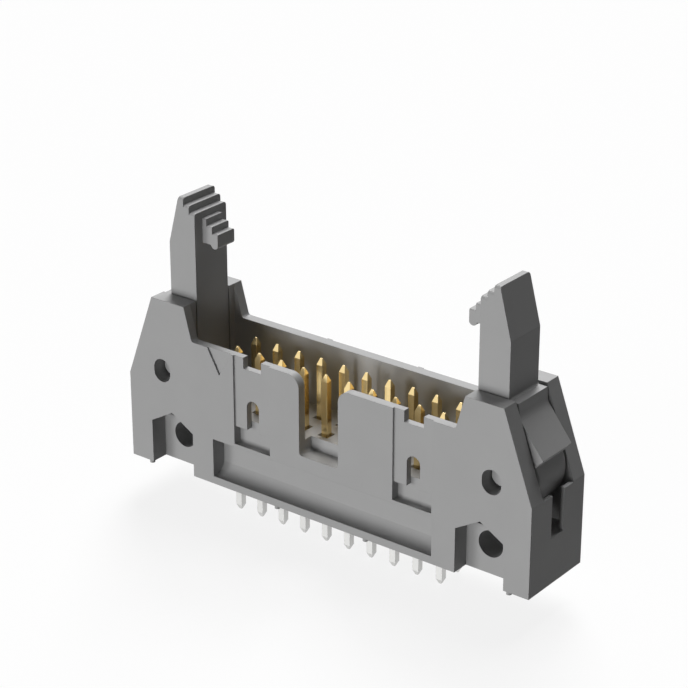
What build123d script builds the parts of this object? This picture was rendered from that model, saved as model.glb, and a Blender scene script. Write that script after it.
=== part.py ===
from build123d import *
from math import acos, atan2, cos, hypot, sin, sqrt
import os

# Latching box header for flat cable, two rows of ten contacts, straight tails.
# Millimetres. X runs along the rows, minus Y is the keyed front and Z is up.
# The origin is the centre of the contact field on the surface of the board.

# Contacts
PITCH = 2.54
COLUMNS = 10
ROWS = 2
PIN_SIZE = 0.64
POST_HEIGHT = 5.85
TAIL_LENGTH = 3.15
POST_POINT = 0.60
POST_TIP = (0.24, 0.10)
TAIL_POINT = 0.48
TAIL_TIP = (0.22, 0.22)
SEAT_SIZE = 1.15
SEAT_DEPTH = 0.35

# Housing, overall
BODY_WIDTH = 8.10
STANDOFF_HEIGHT = 0.30
STANDOFF_SIZE = 0.50
STANDOFF_INSET = 0.30
STANDOFF_COLUMN = 5.0
STANDOFF_FOOT_INSET = 2.15
BASE_HEIGHT = 7.25
WALL_HEIGHT = 6.38
FRONT_WALL = 0.85
BACK_WALL = 1.00
END_ROOM = 4.01

# Ears that carry the latches
EAR_RISE = 3.21
EAR_SIDE_HEIGHT = 8.55
EAR_TOP_LENGTH = 3.87
EAR_INNER_RUN = 0.89
EAR_ROOT_RADIUS = 0.30
WELL_WIDTH = 4.70
WELL_LENGTH = 6.49
WELL_DEPTH = 2.80
FOOT_RECESS = 2.14
END_WALL = 0.40
END_WALL_HEIGHT = 8.50
END_WALL_EDGE = 0.06
END_SLOT_WIDTH = 1.86

# Pivots
PIVOT_INSET = 2.84
PIVOT_RISE = 2.52
PIVOT_HOLE_WIDTH = 1.94
PIVOT_HOLE_PLAY = 0.34
BOSS_CLEARANCE = 0.07
BOSS_LENGTH = 0.63
BOSS_CHAMFER = 0.12

# Board fixing: a screw hole with a pocket for its hexagon nut
SCREW_INSET = 1.81
SCREW_HEIGHT = 2.86
SCREW_HOLE = 2.50
NUT_FLATS = 5.02
NUT_POCKET_BREAK = 0.05

# Polarising slot through the front wall and a little way into the cavity floor
SLOT_WIDTH = 4.34
SLOT_DROP = 1.24
SLOT_REACH = 0.89
SLOT_BOTTOM_RADIUS = 0.35
SLOT_TOP_RADIUS = 1.20

# Coding recesses in the front wall, at whole columns from the middle
KEY_COLUMNS = (-3, 4)
KEY_WIDTH = 4.15
KEY_RELIEF = 0.20
KEY_FACE_DROP = 0.65
KEY_POCKET_HEIGHT = 1.72
KEY_POCKET_RADIUS = 0.30
KEY_NOTCH_WIDTH = 2.04
KEY_NOTCH_DEPTH = 1.06
KEY_WINDOW_WIDTH = 1.40
KEY_WINDOW_HEIGHT = 2.98

# Long recess under the front wall, with a cove down to its lip
PANEL_MARGIN = 0.87
PANEL_DEPTH = 1.50
PANEL_TOP_HEIGHT = 4.56
COVE_HEIGHT = 1.74
COVE_MID_DEPTH = 1.00
COVE_MID_HEIGHT = 1.04
LIP_HEIGHT = 0.76

# Mark at contact 1, a shallow triangle under the top edge
MARK_WIDTH = 2.73
MARK_HEIGHT = 2.43
MARK_DEPTH = 0.18
MARK_POINT_SHARE = 0.505
MARK_COLUMN_OFFSET = 1.30

# Ribs on the outside of the back wall
RIB_COLUMN = 2
RIB_WIDTH = 0.55
RIB_RELIEF = 0.14

# Latches
LATCH_SIDE_GAP = 0.18
LATCH_FACE_GAP = 0.02
LATCH_RISE = 16.65
ARM_THICKNESS = 3.07
ARM_ROOT_RADIUS = 0.20
BEVEL_HEIGHT = 4.55
BEVEL_RUN = 1.19
TOP_FLAT = 0.58
TREAD_EDGE = 0.30
HOOK_TREAD_EDGE = 0.15
STEP_RISE = 0.63
ARM_STEPS = 2
HOOK_WIDTH = 2.30
HOOK_REACH = 1.79
HOOK_STEPS = 3
HOOK_HEIGHT = 2.41
NIB_LENGTH = 0.78
NIB_HEIGHT = 0.29
SHOULDER_DROP = 0.24
SHOULDER_WIDTH = 0.95
SHOULDER_FACE_HEIGHT = 1.30
SHOULDER_FACE_LEAN = 0.12
TOE_HOLLOW_RADIUS = 1.20
TOE_REACH = 3.77
TOE_HEIGHT = 2.33
TOE_UNDERCUT = 0.455
HUB_GAP = 0.25
HUB_EDGE = 0.30
FOOT_SWING_GAP = 0.20
FOOT_FLOOR_GAP = 0.60
FOOT_TOP_DROP = 0.05
FOOT_ROOT_RADIUS = 0.40

# A cut runs this far past the surface that it opens
OVERRUN = 1.0

# Levels and places that follow from the sizes above
underside = STANDOFF_HEIGHT
floor_z = underside + BASE_HEIGHT
wall_top = floor_z + WALL_HEIGHT
ear_top = wall_top + EAR_RISE
well_floor = floor_z - WELL_DEPTH
end_wall_top = underside + END_WALL_HEIGHT
front_y = -BODY_WIDTH / 2
back_y = BODY_WIDTH / 2
cavity_front = front_y + FRONT_WALL
cavity_back = back_y - BACK_WALL
cavity_end = (COLUMNS - 1) * PITCH / 2 + END_ROOM
well_end = cavity_end + WELL_LENGTH
body_end = well_end + END_WALL
pivot_x = cavity_end + PIVOT_INSET
pivot_z = floor_z + PIVOT_RISE
latch_width = WELL_WIDTH - 2 * LATCH_SIDE_GAP


def front_view(y):
    """Plane seen from the front at depth y, with X to the right and Z up."""
    return Plane.XZ.offset(-y)


def outline():
    """Outline of the housing seen from the front, right half."""
    Polyline(
        (0, underside),
        (body_end, underside),
        (body_end, underside + EAR_SIDE_HEIGHT),
        (cavity_end + EAR_TOP_LENGTH, ear_top),
        (cavity_end, ear_top),
        (cavity_end - EAR_INNER_RUN, wall_top),
        (0, wall_top),
    )


with BuildPart() as housing:
    # Body with its two ears
    with BuildSketch(front_view(back_y)):
        with BuildLine():
            outline()
            mirror(about=Plane.YZ)
        make_face()
    extrude(amount=BODY_WIDTH)
    ear_roots = housing.edges().filter_by(Axis.Y)
    ear_roots = ear_roots.filter_by_position(Axis.Z, wall_top - 0.01, wall_top + 0.01)
    fillet(ear_roots, radius=EAR_ROOT_RADIUS)

    # Ribs on the back wall, flush with its top edge
    with BuildSketch(Plane.XY.offset(underside)):
        with Locations(*[(side * RIB_COLUMN * PITCH, back_y) for side in (-1, 1)]):
            Rectangle(RIB_WIDTH, 2 * RIB_RELIEF)
    extrude(amount=wall_top - underside)

    # Standoffs that keep the underside clear of the board
    foot_x = body_end - STANDOFF_FOOT_INSET
    standoff_y = back_y - STANDOFF_INSET
    standoff_places = [
        (x, y)
        for x in (-foot_x, -STANDOFF_COLUMN, STANDOFF_COLUMN, foot_x)
        for y in (-standoff_y, standoff_y)
    ]
    with BuildSketch(Plane.XY.offset(underside)):
        with Locations(*standoff_places):
            Circle(STANDOFF_SIZE / 2)
    extrude(amount=-STANDOFF_HEIGHT)

    # Cavity that takes the cable plug
    with BuildSketch(Plane.XY.offset(floor_z)):
        with Locations((0, (cavity_front + cavity_back) / 2)):
            Rectangle(2 * cavity_end, cavity_back - cavity_front)
    extrude(amount=ear_top - floor_z + OVERRUN, mode=Mode.SUBTRACT)

    # Wells for the latches, each with a recess in the cavity floor for its foot
    recess_start = cavity_end - FOOT_RECESS
    with BuildSketch(Plane.XY.offset(well_floor)):
        for side in (-1, 1):
            with Locations((side * (recess_start + well_end) / 2, 0)):
                Rectangle(well_end - recess_start, WELL_WIDTH)
    extrude(amount=floor_z - well_floor, mode=Mode.SUBTRACT)
    with BuildSketch(Plane.XY.offset(floor_z)):
        for side in (-1, 1):
            with Locations((side * (cavity_end + well_end) / 2, 0)):
                Rectangle(WELL_LENGTH, WELL_WIDTH)
    extrude(amount=ear_top - floor_z + OVERRUN, mode=Mode.SUBTRACT)

    # Low end walls between the ears, each with an upright slot
    with BuildSketch(Plane.XY.offset(end_wall_top)):
        for side in (-1, 1):
            with Locations((side * (well_end + body_end + OVERRUN) / 2, 0)):
                Rectangle(END_WALL + OVERRUN, WELL_WIDTH)
    extrude(amount=ear_top - end_wall_top + OVERRUN, mode=Mode.SUBTRACT)
    with BuildSketch(Plane.XY.offset(well_floor)):
        for side in (-1, 1):
            with Locations((side * body_end, 0)):
                Rectangle(2 * END_WALL, END_SLOT_WIDTH)
    extrude(amount=end_wall_top - well_floor + OVERRUN, mode=Mode.SUBTRACT)
    end_wall_edges = housing.edges().filter_by(Axis.Y)
    end_wall_edges = end_wall_edges.filter_by_position(
        Axis.Z, end_wall_top - 0.01, end_wall_top + 0.01
    )
    fillet(end_wall_edges, radius=END_WALL_EDGE)

    # Pivot holes, a little taller than wide, through both ears
    with BuildSketch(Plane.XZ):
        with Locations((-pivot_x, pivot_z), (pivot_x, pivot_z)):
            SlotOverall(PIVOT_HOLE_WIDTH + PIVOT_HOLE_PLAY, PIVOT_HOLE_WIDTH, rotation=90)
    extrude(amount=BODY_WIDTH, both=True, mode=Mode.SUBTRACT)

    # Screw holes, and nut pockets that are open at the underside
    screw_x = cavity_end + SCREW_INSET
    screw_z = underside + SCREW_HEIGHT
    pocket_depth = (BODY_WIDTH - WELL_WIDTH) / 2 + NUT_POCKET_BREAK
    with BuildSketch(Plane.XZ):
        with Locations((-screw_x, screw_z), (screw_x, screw_z)):
            Circle(SCREW_HOLE / 2)
    extrude(amount=BODY_WIDTH, both=True, mode=Mode.SUBTRACT)
    with BuildSketch(front_view(front_y + pocket_depth)):
        with Locations((-screw_x, screw_z), (screw_x, screw_z)):
            RegularPolygon(NUT_FLATS / 2, 6, major_radius=False, rotation=30)
        for side in (-1, 1):
            with Locations((side * screw_x, screw_z / 2)):
                Rectangle(NUT_FLATS, screw_z)
    extrude(amount=pocket_depth + OVERRUN, mode=Mode.SUBTRACT)

    # Polarising slot, cut on into the cavity floor
    slot_bottom = floor_z - SLOT_DROP
    with BuildSketch(front_view(cavity_front + SLOT_REACH)):
        with Locations((0, (slot_bottom + ear_top) / 2)):
            Rectangle(SLOT_WIDTH, ear_top - slot_bottom)
    extrude(amount=SLOT_REACH + FRONT_WALL + OVERRUN, mode=Mode.SUBTRACT)
    slot_edges = housing.edges().filter_by(Axis.Y)
    slot_edges = slot_edges.filter_by_position(
        Axis.X, -SLOT_WIDTH / 2 - 0.01, SLOT_WIDTH / 2 + 0.01
    )
    fillet(slot_edges.group_by(Axis.Z)[-1], radius=SLOT_TOP_RADIUS)
    fillet(
        slot_edges.filter_by_position(Axis.Z, slot_bottom - 0.01, slot_bottom + 0.01),
        radius=SLOT_BOTTOM_RADIUS,
    )

    # Coding recesses: a shallow face, a deep pocket below, a notch and a window
    face_bottom = floor_z - KEY_FACE_DROP
    pocket_bottom = face_bottom - KEY_POCKET_HEIGHT
    notch_bottom = wall_top - KEY_NOTCH_DEPTH
    key_centres = [column * PITCH for column in KEY_COLUMNS]
    with BuildSketch(front_view(front_y + KEY_RELIEF)):
        with Locations(*[(x, (face_bottom + ear_top) / 2) for x in key_centres]):
            Rectangle(KEY_WIDTH, ear_top - face_bottom)
    extrude(amount=KEY_RELIEF + OVERRUN, mode=Mode.SUBTRACT)
    with BuildSketch(front_view(cavity_front)):
        with Locations(*[(x, (pocket_bottom + face_bottom) / 2) for x in key_centres]):
            Rectangle(KEY_WIDTH, KEY_POCKET_HEIGHT)
        with Locations(*[(x, (notch_bottom + ear_top) / 2) for x in key_centres]):
            Rectangle(KEY_NOTCH_WIDTH, ear_top - notch_bottom)
        window_side = KEY_WINDOW_HEIGHT - KEY_WINDOW_WIDTH / 2
        with Locations(*[(x, face_bottom + window_side / 2) for x in key_centres]):
            Rectangle(KEY_WINDOW_WIDTH, window_side)
        with Locations(*[(x, face_bottom + window_side) for x in key_centres]):
            Circle(KEY_WINDOW_WIDTH / 2)
    extrude(amount=FRONT_WALL + OVERRUN, mode=Mode.SUBTRACT)
    pocket_edges = housing.edges().filter_by(Axis.X)
    pocket_edges = pocket_edges.filter_by_position(
        Axis.Z, pocket_bottom - 0.01, pocket_bottom + 0.01
    )
    fillet(pocket_edges.group_by(Axis.Y)[-1], radius=KEY_POCKET_RADIUS)

    # Long recess under the front wall, drawn in section
    panel_end = (COLUMNS - 1) * PITCH / 2 + PANEL_MARGIN
    panel_floor = front_y + PANEL_DEPTH
    with BuildSketch(Plane.YZ.offset(-panel_end)):
        with BuildLine():
            Polyline(
                (front_y - OVERRUN, underside + LIP_HEIGHT),
                (front_y - OVERRUN, underside + PANEL_TOP_HEIGHT),
                (panel_floor, underside + PANEL_TOP_HEIGHT),
                (panel_floor, underside + COVE_HEIGHT),
            )
            ThreePointArc(
                (panel_floor, underside + COVE_HEIGHT),
                (front_y + COVE_MID_DEPTH, underside + COVE_MID_HEIGHT),
                (front_y, underside + LIP_HEIGHT),
            )
            Line((front_y, underside + LIP_HEIGHT), (front_y - OVERRUN, underside + LIP_HEIGHT))
        make_face()
    extrude(amount=2 * panel_end, mode=Mode.SUBTRACT)

    # Mark beside contact 1
    mark_left = -(COLUMNS - 1) * PITCH / 2 - MARK_COLUMN_OFFSET
    with BuildSketch(front_view(front_y + MARK_DEPTH)):
        with BuildLine():
            Polyline(
                (mark_left, wall_top),
                (mark_left + MARK_WIDTH, wall_top),
                (mark_left + MARK_POINT_SHARE * MARK_WIDTH, wall_top - MARK_HEIGHT),
                close=True,
            )
        make_face()
    extrude(amount=MARK_DEPTH + OVERRUN, mode=Mode.SUBTRACT)

    # Square holes for the contacts, each with a wider seat in the floor
    with BuildSketch(Plane.XY.offset(floor_z)):
        with GridLocations(PITCH, PITCH, COLUMNS, ROWS):
            Rectangle(SEAT_SIZE, SEAT_SIZE)
    extrude(amount=-SEAT_DEPTH, mode=Mode.SUBTRACT)
    with BuildSketch(Plane.XY):
        with GridLocations(PITCH, PITCH, COLUMNS, ROWS):
            Rectangle(PIN_SIZE, PIN_SIZE)
    extrude(amount=floor_z, mode=Mode.SUBTRACT)


# Latch, drawn about its pivot: u runs outward and w up
arm_in = LATCH_FACE_GAP - PIVOT_INSET
arm_out = arm_in + ARM_THICKNESS
hook_nose = arm_in - HOOK_REACH
step_run = (ARM_THICKNESS - BEVEL_RUN - TOP_FLAT) / ARM_STEPS
hook_top = LATCH_RISE - (ARM_STEPS + 1) * STEP_RISE
hook_bottom = hook_top - HOOK_HEIGHT
shoulder_w = ear_top - pivot_z - SHOULDER_DROP
shoulder_out = arm_out + SHOULDER_WIDTH
toe_bend = (shoulder_out + SHOULDER_FACE_LEAN, shoulder_w - SHOULDER_FACE_HEIGHT)
hub_radius = WELL_LENGTH - PIVOT_INSET - HUB_GAP
hub_start = TOE_UNDERCUT
foot_top = -PIVOT_RISE - FOOT_TOP_DROP
foot_radius = hypot(PIVOT_INSET + FOOT_RECESS, PIVOT_RISE) - FOOT_SWING_GAP
foot_low = -PIVOT_RISE - WELL_DEPTH + FOOT_FLOOR_GAP


def on_circle(radius, angle):
    """Point at an angle in radians on a circle about the pivot."""
    return (radius * cos(angle), radius * sin(angle))


def latch_outline():
    """Closed outline of the arm, toe, hub and ejector foot."""
    steps = []
    for step in range(ARM_STEPS, 0, -1):
        level = LATCH_RISE - step * STEP_RISE
        edge = arm_in + (ARM_STEPS - step) * step_run
        steps.append((edge, level))
        steps.append((edge + step_run, level))
    Polyline(
        (arm_in, foot_top),
        *steps,
        (arm_in + ARM_STEPS * step_run, LATCH_RISE),
        (arm_out - BEVEL_RUN, LATCH_RISE),
        (arm_out, LATCH_RISE - BEVEL_HEIGHT),
        (arm_out, shoulder_w),
        (shoulder_out, shoulder_w),
        toe_bend,
        (TOE_REACH, TOE_HEIGHT),
        on_circle(hub_radius, hub_start),
    )
    foot_tip = (-sqrt(foot_radius**2 - foot_top**2), foot_top)
    foot_heel = (-sqrt(foot_radius**2 - foot_low**2), foot_low)
    tip_angle = atan2(foot_tip[1], foot_tip[0])
    heel_angle = atan2(foot_heel[1], foot_heel[0])
    hub_end = heel_angle + acos(hub_radius / foot_radius)
    ThreePointArc(
        on_circle(hub_radius, hub_start),
        on_circle(hub_radius, (hub_start + hub_end) / 2),
        on_circle(hub_radius, hub_end),
    )
    Line(on_circle(hub_radius, hub_end), foot_heel)
    ThreePointArc(foot_heel, on_circle(foot_radius, (tip_angle + heel_angle) / 2), foot_tip)
    Line(foot_tip, (arm_in, foot_top))


def hook_outline():
    """Closed outline of the stepped hook, rooted inside the arm."""
    root = arm_in + ARM_THICKNESS / 2
    treads = [(root, hook_top)]
    for step in range(HOOK_STEPS):
        level = hook_top - step * STEP_RISE
        edge = hook_nose + (HOOK_STEPS - 1 - step) * step_run
        treads.append((edge, level))
        if step < HOOK_STEPS - 1:
            treads.append((edge, level - STEP_RISE))
    nose = (hook_nose, hook_bottom)
    nib_end = (hook_nose + NIB_LENGTH, hook_bottom)
    Polyline(*treads, nose)
    ThreePointArc(nose, (hook_nose + NIB_LENGTH / 2, hook_bottom - NIB_HEIGHT), nib_end)
    Polyline(nib_end, (root, hook_bottom), (root, hook_top))


def pivot_view(y):
    """Plane seen from the front at depth y, centred on the right pivot."""
    return Plane(origin=(pivot_x, y, pivot_z), x_dir=(1, 0, 0), z_dir=(0, -1, 0))


def corner(part, u, w):
    """The edge across a latch nearest to a point of its outline."""
    return part.edges().filter_by(Axis.Y).sort_by_distance((pivot_x + u, 0, pivot_z + w))[0]


def tread_sides(part, low_w, high_w):
    """The edges along both sides of the treads between two heights."""
    level = part.edges().filter_by(Axis.X)
    return level.filter_by_position(Axis.Z, pivot_z + low_w - 0.01, pivot_z + high_w + 0.01)


with BuildPart() as latch_right:
    with BuildSketch(pivot_view(latch_width / 2)):
        with BuildLine():
            latch_outline()
        make_face()
    extrude(amount=latch_width)
    fillet(corner(latch_right, arm_out, shoulder_w), radius=ARM_ROOT_RADIUS)
    fillet(corner(latch_right, *toe_bend), radius=TOE_HOLLOW_RADIUS)
    fillet(corner(latch_right, arm_in, foot_top), radius=FOOT_ROOT_RADIUS)
    fillet(tread_sides(latch_right, hook_top + STEP_RISE, LATCH_RISE), radius=TREAD_EDGE)

    # Stepped hook, narrower than the arm
    with BuildSketch(pivot_view(HOOK_WIDTH / 2)):
        with BuildLine():
            hook_outline()
        make_face()
    extrude(amount=HOOK_WIDTH)
    fillet(tread_sides(latch_right, hook_bottom, hook_top), radius=HOOK_TREAD_EDGE)

    # Rounded edges at the sides of the hub
    hub_edges = latch_right.edges().filter_by(GeomType.CIRCLE)
    hub_edges = hub_edges.filter_by(lambda edge: abs(edge.radius - hub_radius) < 0.01)
    fillet(hub_edges, radius=HUB_EDGE)

    # Bosses that turn in the pivot holes
    with BuildSketch(pivot_view(0)):
        Circle(PIVOT_HOLE_WIDTH / 2 - BOSS_CLEARANCE)
    extrude(amount=latch_width / 2 + BOSS_LENGTH, both=True)
    boss_ends = latch_right.edges().filter_by(GeomType.CIRCLE)
    boss_ends = ShapeList([boss_ends.sort_by(Axis.Y)[0], boss_ends.sort_by(Axis.Y)[-1]])
    chamfer(boss_ends, length=BOSS_CHAMFER)

with BuildPart() as latch_left:
    mirror(latch_right.part, about=Plane.YZ)

os.makedirs("parts", exist_ok=True)
housing.part.label = "housing"
export_step(housing.part, "parts/housing.step")
latch_left.part.label = "latch_left"
export_step(latch_left.part, "parts/latch_left.step")
latch_right.part.label = "latch_right"
export_step(latch_right.part, "parts/latch_right.step")

# Contacts, numbered from the marked end, front row odd and back row even
post_end = floor_z + POST_HEIGHT
tail_end = -TAIL_LENGTH
for column in range(COLUMNS):
    for row in range(ROWS):
        x = (column - (COLUMNS - 1) / 2) * PITCH
        y = (row - (ROWS - 1) / 2) * PITCH
        with BuildPart() as contact:
            with BuildSketch(Plane((x, y, tail_end + TAIL_POINT))):
                Rectangle(PIN_SIZE, PIN_SIZE)
            extrude(amount=post_end - tail_end - TAIL_POINT - POST_POINT)
            for shoulder, tip, flat in (
                (tail_end + TAIL_POINT, tail_end, TAIL_TIP),
                (post_end - POST_POINT, post_end, POST_TIP),
            ):
                with BuildSketch(Plane((x, y, shoulder))):
                    Rectangle(PIN_SIZE, PIN_SIZE)
                with BuildSketch(Plane((x, y, tip))):
                    Rectangle(*flat)
                loft()
        number = column * ROWS + row + 1
        contact.part.label = f"contact_{number:02d}"
        export_step(contact.part, f"parts/contact_{number:02d}.step")
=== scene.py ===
import bpy
import math
from mathutils import Matrix, Vector


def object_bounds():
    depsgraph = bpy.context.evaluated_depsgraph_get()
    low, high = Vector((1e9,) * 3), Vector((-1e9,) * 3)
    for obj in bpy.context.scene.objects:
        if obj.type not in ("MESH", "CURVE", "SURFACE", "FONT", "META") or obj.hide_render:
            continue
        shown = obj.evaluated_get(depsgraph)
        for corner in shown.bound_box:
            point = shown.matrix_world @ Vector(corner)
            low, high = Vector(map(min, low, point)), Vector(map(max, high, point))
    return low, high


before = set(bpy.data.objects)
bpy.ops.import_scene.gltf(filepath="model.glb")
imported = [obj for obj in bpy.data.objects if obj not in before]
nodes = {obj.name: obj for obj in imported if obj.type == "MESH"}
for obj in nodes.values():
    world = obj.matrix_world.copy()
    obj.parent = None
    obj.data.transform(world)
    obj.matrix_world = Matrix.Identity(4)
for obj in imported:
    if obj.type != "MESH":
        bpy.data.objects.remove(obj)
cad_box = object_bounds()

# Camera, as it stood for the photograph
AZIMUTH = math.radians(37.689)
ELEVATION = math.radians(23.822)
DISTANCE = 0.20234
AIM = Vector((-0.00378, 0.00453, 0.01366))
LENS = 117.03
SENSOR = 36.0
NEAREST_SEEN = 0.01

# Lamps: name, azimuth and elevation in degrees, strength, which is what a surface
# that faces the lamp shows of its own colour, and whether gloss shows the lamp
LAMPS = (
    ("key_side", 212, 45, 0.74, True),
    ("key_top", 192, 70, 0.47, True),
    ("front_low", 0, -10, 0.53, True),
    ("front_side", -30, 5, 0.41, False),
)
LAMP_SOFTNESS = math.radians(25)

# Background: white where it is seen, and dim as a source of light
WHITE = (1, 1, 1, 1)
AMBIENT = 0.016

# Floor: near white where it is seen, and dark as a source of bounced light
FLOOR_SIZE = 3.0
FLOOR_COLOUR = 0.88
FLOOR_GLOW_SHARE = 0.86
FLOOR_BOUNCE_COLOUR = 0.08

# Both finishes
ROUGHNESS_SPREAD = 0.06
ROUNDING_SAMPLES = 4

# Moulded plastic: a fine grain, and clouds that make it slightly lighter and darker
PLASTIC_GREY = 0.33
PLASTIC_SHADE = 0.96
PLASTIC_SPECULAR = 0.3
PLASTIC_ROUGHNESS = 0.52
PLASTIC_ROUNDING = 0.00007
GRAIN_SIZE = 0.00012
GRAIN_DETAIL = 4
GRAIN_HEIGHT = 0.000003
CLOUD_SIZE = 0.0035
CLOUD_DETAIL = 3

# Drawn wire: gold above the height of the change and tin below it, and long fine lines
PLATING_CHANGE = 0.0035
GOLD = (0.92, 0.71, 0.35)
TIN = (0.60, 0.60, 0.59)
GOLD_ROUGHNESS = 0.17
TIN_ROUGHNESS = 0.52
WIRE_ROUNDING = 0.00003
LINE_SIZE = 0.00009
LINE_STRETCH = (1, 1, 0.06)
LINE_DETAIL = 2
LINE_HEIGHT = 0.000001


def direction(azimuth, elevation):
    """Unit vector towards a place in the sky; azimuth 0 is in front."""
    return Vector(
        (
            math.cos(elevation) * math.sin(azimuth),
            -math.cos(elevation) * math.cos(azimuth),
            math.sin(elevation),
        )
    )


def new_material(name):
    """An empty material, its node tree and its output node."""
    material = bpy.data.materials.new(name)
    material.use_nodes = True
    tree = material.node_tree
    tree.nodes.clear()
    output = tree.nodes.new("ShaderNodeOutputMaterial")
    return material, tree, output


def noise(tree, place, size, detail):
    """Noise with features of a size in metres."""
    node = tree.nodes.new("ShaderNodeTexNoise")
    node.inputs["Scale"].default_value = 1 / size
    node.inputs["Detail"].default_value = detail
    tree.links.new(place, node.inputs["Vector"])
    return node.outputs["Fac"]


def mapped(tree, value, low, high):
    """A value from 0 to 1 spread from low to high."""
    node = tree.nodes.new("ShaderNodeMapRange")
    node.inputs["To Min"].default_value = low
    node.inputs["To Max"].default_value = high
    tree.links.new(value, node.inputs["Value"])
    return node.outputs["Result"]


def combined(tree, operation, first, second):
    """Two values put together by an operation."""
    node = tree.nodes.new("ShaderNodeMath")
    node.operation = operation
    tree.links.new(first, node.inputs[0])
    tree.links.new(second, node.inputs[1])
    return node.outputs["Value"]


def grey(tree, value):
    """A grey colour from a value."""
    node = tree.nodes.new("ShaderNodeCombineColor")
    for channel in ("Red", "Green", "Blue"):
        tree.links.new(value, node.inputs[channel])
    return node.outputs["Color"]


def bumped(tree, height, distance, rounding):
    """A normal with fine relief on softly rounded edges."""
    bevel = tree.nodes.new("ShaderNodeBevel")
    bevel.samples = ROUNDING_SAMPLES
    bevel.inputs["Radius"].default_value = rounding
    bump = tree.nodes.new("ShaderNodeBump")
    bump.inputs["Strength"].default_value = 1.0
    bump.inputs["Distance"].default_value = distance
    tree.links.new(height, bump.inputs["Height"])
    tree.links.new(bevel.outputs["Normal"], bump.inputs["Normal"])
    return bump.outputs["Normal"]


def surfaced(tree, output, colour, roughness, normal):
    """The shader of a finish, linked to its output."""
    shader = tree.nodes.new("ShaderNodeBsdfPrincipled")
    tree.links.new(colour, shader.inputs["Base Color"])
    tree.links.new(roughness, shader.inputs["Roughness"])
    tree.links.new(normal, shader.inputs["Normal"])
    tree.links.new(shader.outputs["BSDF"], output.inputs["Surface"])
    return shader


def plastic(name):
    """Glass-filled plastic with a fine moulded grain."""
    material, tree, output = new_material(name)
    place = tree.nodes.new("ShaderNodeTexCoord").outputs["Object"]
    clouds = noise(tree, place, CLOUD_SIZE, CLOUD_DETAIL)
    grain = noise(tree, place, GRAIN_SIZE, GRAIN_DETAIL)
    level = mapped(tree, clouds, PLASTIC_GREY * PLASTIC_SHADE, PLASTIC_GREY / PLASTIC_SHADE)
    smoothest = PLASTIC_ROUGHNESS - ROUGHNESS_SPREAD
    roughest = PLASTIC_ROUGHNESS + ROUGHNESS_SPREAD
    roughness = mapped(tree, grain, smoothest, roughest)
    normal = bumped(tree, grain, GRAIN_HEIGHT, PLASTIC_ROUNDING)
    shader = surfaced(tree, output, grey(tree, level), roughness, normal)
    shader.inputs["Specular IOR Level"].default_value = PLASTIC_SPECULAR
    return material


def plated_contact():
    """Drawn wire, gold plated on the post and dull tin plated on the tail."""
    material, tree, output = new_material("plated_contact")
    place = tree.nodes.new("ShaderNodeTexCoord").outputs["Object"]
    split = tree.nodes.new("ShaderNodeSeparateXYZ")
    tree.links.new(place, split.inputs["Vector"])
    post = tree.nodes.new("ShaderNodeMath")
    post.operation = "GREATER_THAN"
    post.inputs[1].default_value = PLATING_CHANGE
    tree.links.new(split.outputs["Z"], post.inputs[0])
    on_post = post.outputs["Value"]
    colours = tree.nodes.new("ShaderNodeMix")
    colours.data_type = "RGBA"
    colours.inputs["A"].default_value = (*TIN, 1)
    colours.inputs["B"].default_value = (*GOLD, 1)
    tree.links.new(on_post, colours.inputs["Factor"])
    stretch = tree.nodes.new("ShaderNodeMapping")
    stretch.inputs["Scale"].default_value = LINE_STRETCH
    tree.links.new(place, stretch.inputs["Vector"])
    lines = noise(tree, stretch.outputs["Vector"], LINE_SIZE, LINE_DETAIL)
    plating = mapped(tree, on_post, TIN_ROUGHNESS, GOLD_ROUGHNESS)
    unevenness = mapped(tree, lines, -ROUGHNESS_SPREAD, ROUGHNESS_SPREAD)
    roughness = combined(tree, "ADD", plating, unevenness)
    normal = bumped(tree, lines, LINE_HEIGHT, WIRE_ROUNDING)
    shader = surfaced(tree, output, colours.outputs["Result"], roughness, normal)
    shader.inputs["Metallic"].default_value = 1.0
    return material


def assign(name, material):
    """Gives a node of the frame its material in every slot."""
    node = nodes[name]
    if not node.material_slots:
        node.data.materials.append(material)
    for slot in node.material_slots:
        slot.material = material


def where_seen(tree):
    """1 for rays that see the background: from the camera, in gloss or through glass."""
    path = tree.nodes.new("ShaderNodeLightPath")
    seen = path.outputs["Is Camera Ray"]
    for kind in ("Is Glossy Ray", "Is Transmission Ray"):
        seen = combined(tree, "MAXIMUM", seen, path.outputs[kind])
    return seen


def matt(tree, level):
    """A plain grey surface."""
    shader = tree.nodes.new("ShaderNodeBsdfDiffuse")
    shader.inputs["Color"].default_value = (level, level, level, 1)
    return shader.outputs["BSDF"]


def blended(tree, first, second):
    """The node that mixes two surfaces."""
    node = tree.nodes.new("ShaderNodeMixShader")
    tree.links.new(first, node.inputs[1])
    tree.links.new(second, node.inputs[2])
    return node


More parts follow.
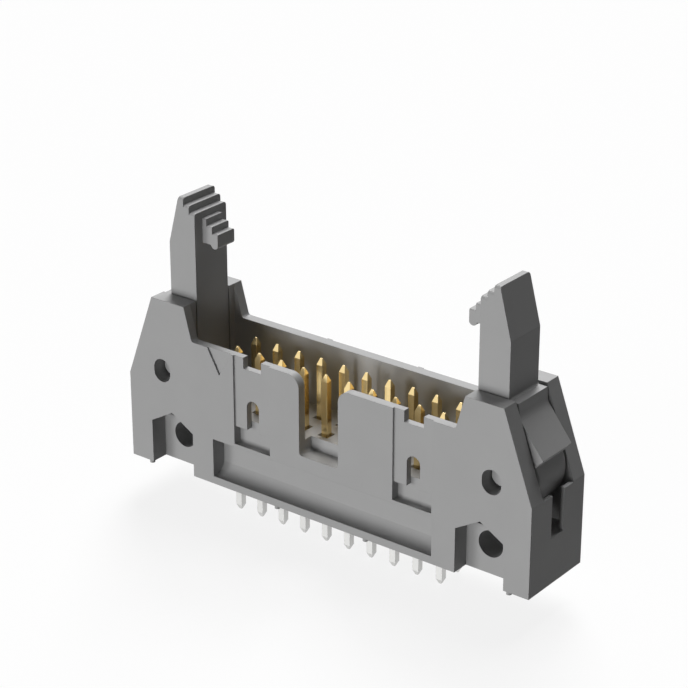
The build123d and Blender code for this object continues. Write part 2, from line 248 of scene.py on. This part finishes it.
def make_floor():
    """Plain pale floor under the tails, which keeps the object's shadow."""
    low = cad_box[0][2]
    half = FLOOR_SIZE / 2
    mesh = bpy.data.meshes.new("floor")
    corners = [(-half, -half, low), (half, -half, low), (half, half, low), (-half, half, low)]
    mesh.from_pydata(corners, [], [(0, 1, 2, 3)])
    floor = bpy.data.objects.new("floor", mesh)
    bpy.context.scene.collection.objects.link(floor)
    material, tree, output = new_material("floor")
    white = tree.nodes.new("ShaderNodeEmission")
    pale = blended(tree, matt(tree, FLOOR_COLOUR), white.outputs["Emission"])
    pale.inputs["Fac"].default_value = FLOOR_GLOW_SHARE
    surface = blended(tree, matt(tree, FLOOR_BOUNCE_COLOUR), pale.outputs["Shader"])
    tree.links.new(where_seen(tree), surface.inputs["Fac"])
    tree.links.new(surface.outputs["Shader"], output.inputs["Surface"])
    mesh.materials.append(material)
    floor.visible_shadow = False


def make_world():
    """White background where it is seen, and a dim even light for the rest."""
    world = bpy.data.worlds.new("studio")
    bpy.context.scene.world = world
    world.use_nodes = True
    tree = world.node_tree
    tree.nodes.clear()
    output = tree.nodes.new("ShaderNodeOutputWorld")
    background = tree.nodes.new("ShaderNodeBackground")
    background.inputs["Color"].default_value = WHITE
    strength = mapped(tree, where_seen(tree), AMBIENT, 1)
    tree.links.new(strength, background.inputs["Strength"])
    tree.links.new(background.outputs["Background"], output.inputs["Surface"])


def make_sun(name, azimuth, elevation, strength, in_gloss):
    """A soft distant lamp that shines from a place in the sky."""
    data = bpy.data.lights.new(name, "SUN")
    data.energy = strength * math.pi
    data.angle = LAMP_SOFTNESS
    lamp = bpy.data.objects.new(name, data)
    lamp.visible_glossy = in_gloss
    lamp.rotation_euler = direction(azimuth, elevation).to_track_quat("Z", "Y").to_euler()
    bpy.context.scene.collection.objects.link(lamp)


def make_camera():
    """The photograph's camera."""
    data = bpy.data.cameras.new("camera")
    data.lens = LENS
    data.sensor_width = SENSOR
    data.clip_start = NEAREST_SEEN
    camera = bpy.data.objects.new("camera", data)
    back = direction(AZIMUTH, ELEVATION)
    right = Vector((0, 0, 1)).cross(back).normalized()
    up = back.cross(right)
    turn = Matrix((right, up, back)).transposed().to_4x4()
    camera.matrix_world = Matrix.Translation(AIM + DISTANCE * back) @ turn
    bpy.context.scene.collection.objects.link(camera)
    bpy.context.scene.camera = camera


housing_plastic = plastic("housing_plastic")
latch_plastic = plastic("latch_plastic")
contact_metal = plated_contact()
assign("housing", housing_plastic)
assign("latch_left", latch_plastic)
assign("latch_right", latch_plastic)
for name in nodes:
    if name.startswith("contact"):
        assign(name, contact_metal)

make_floor()
make_world()
for name, azimuth, elevation, strength, in_gloss in LAMPS:
    make_sun(name, math.radians(azimuth), math.radians(elevation), strength, in_gloss)
make_camera()
bpy.context.scene.view_settings.view_transform = "Standard"
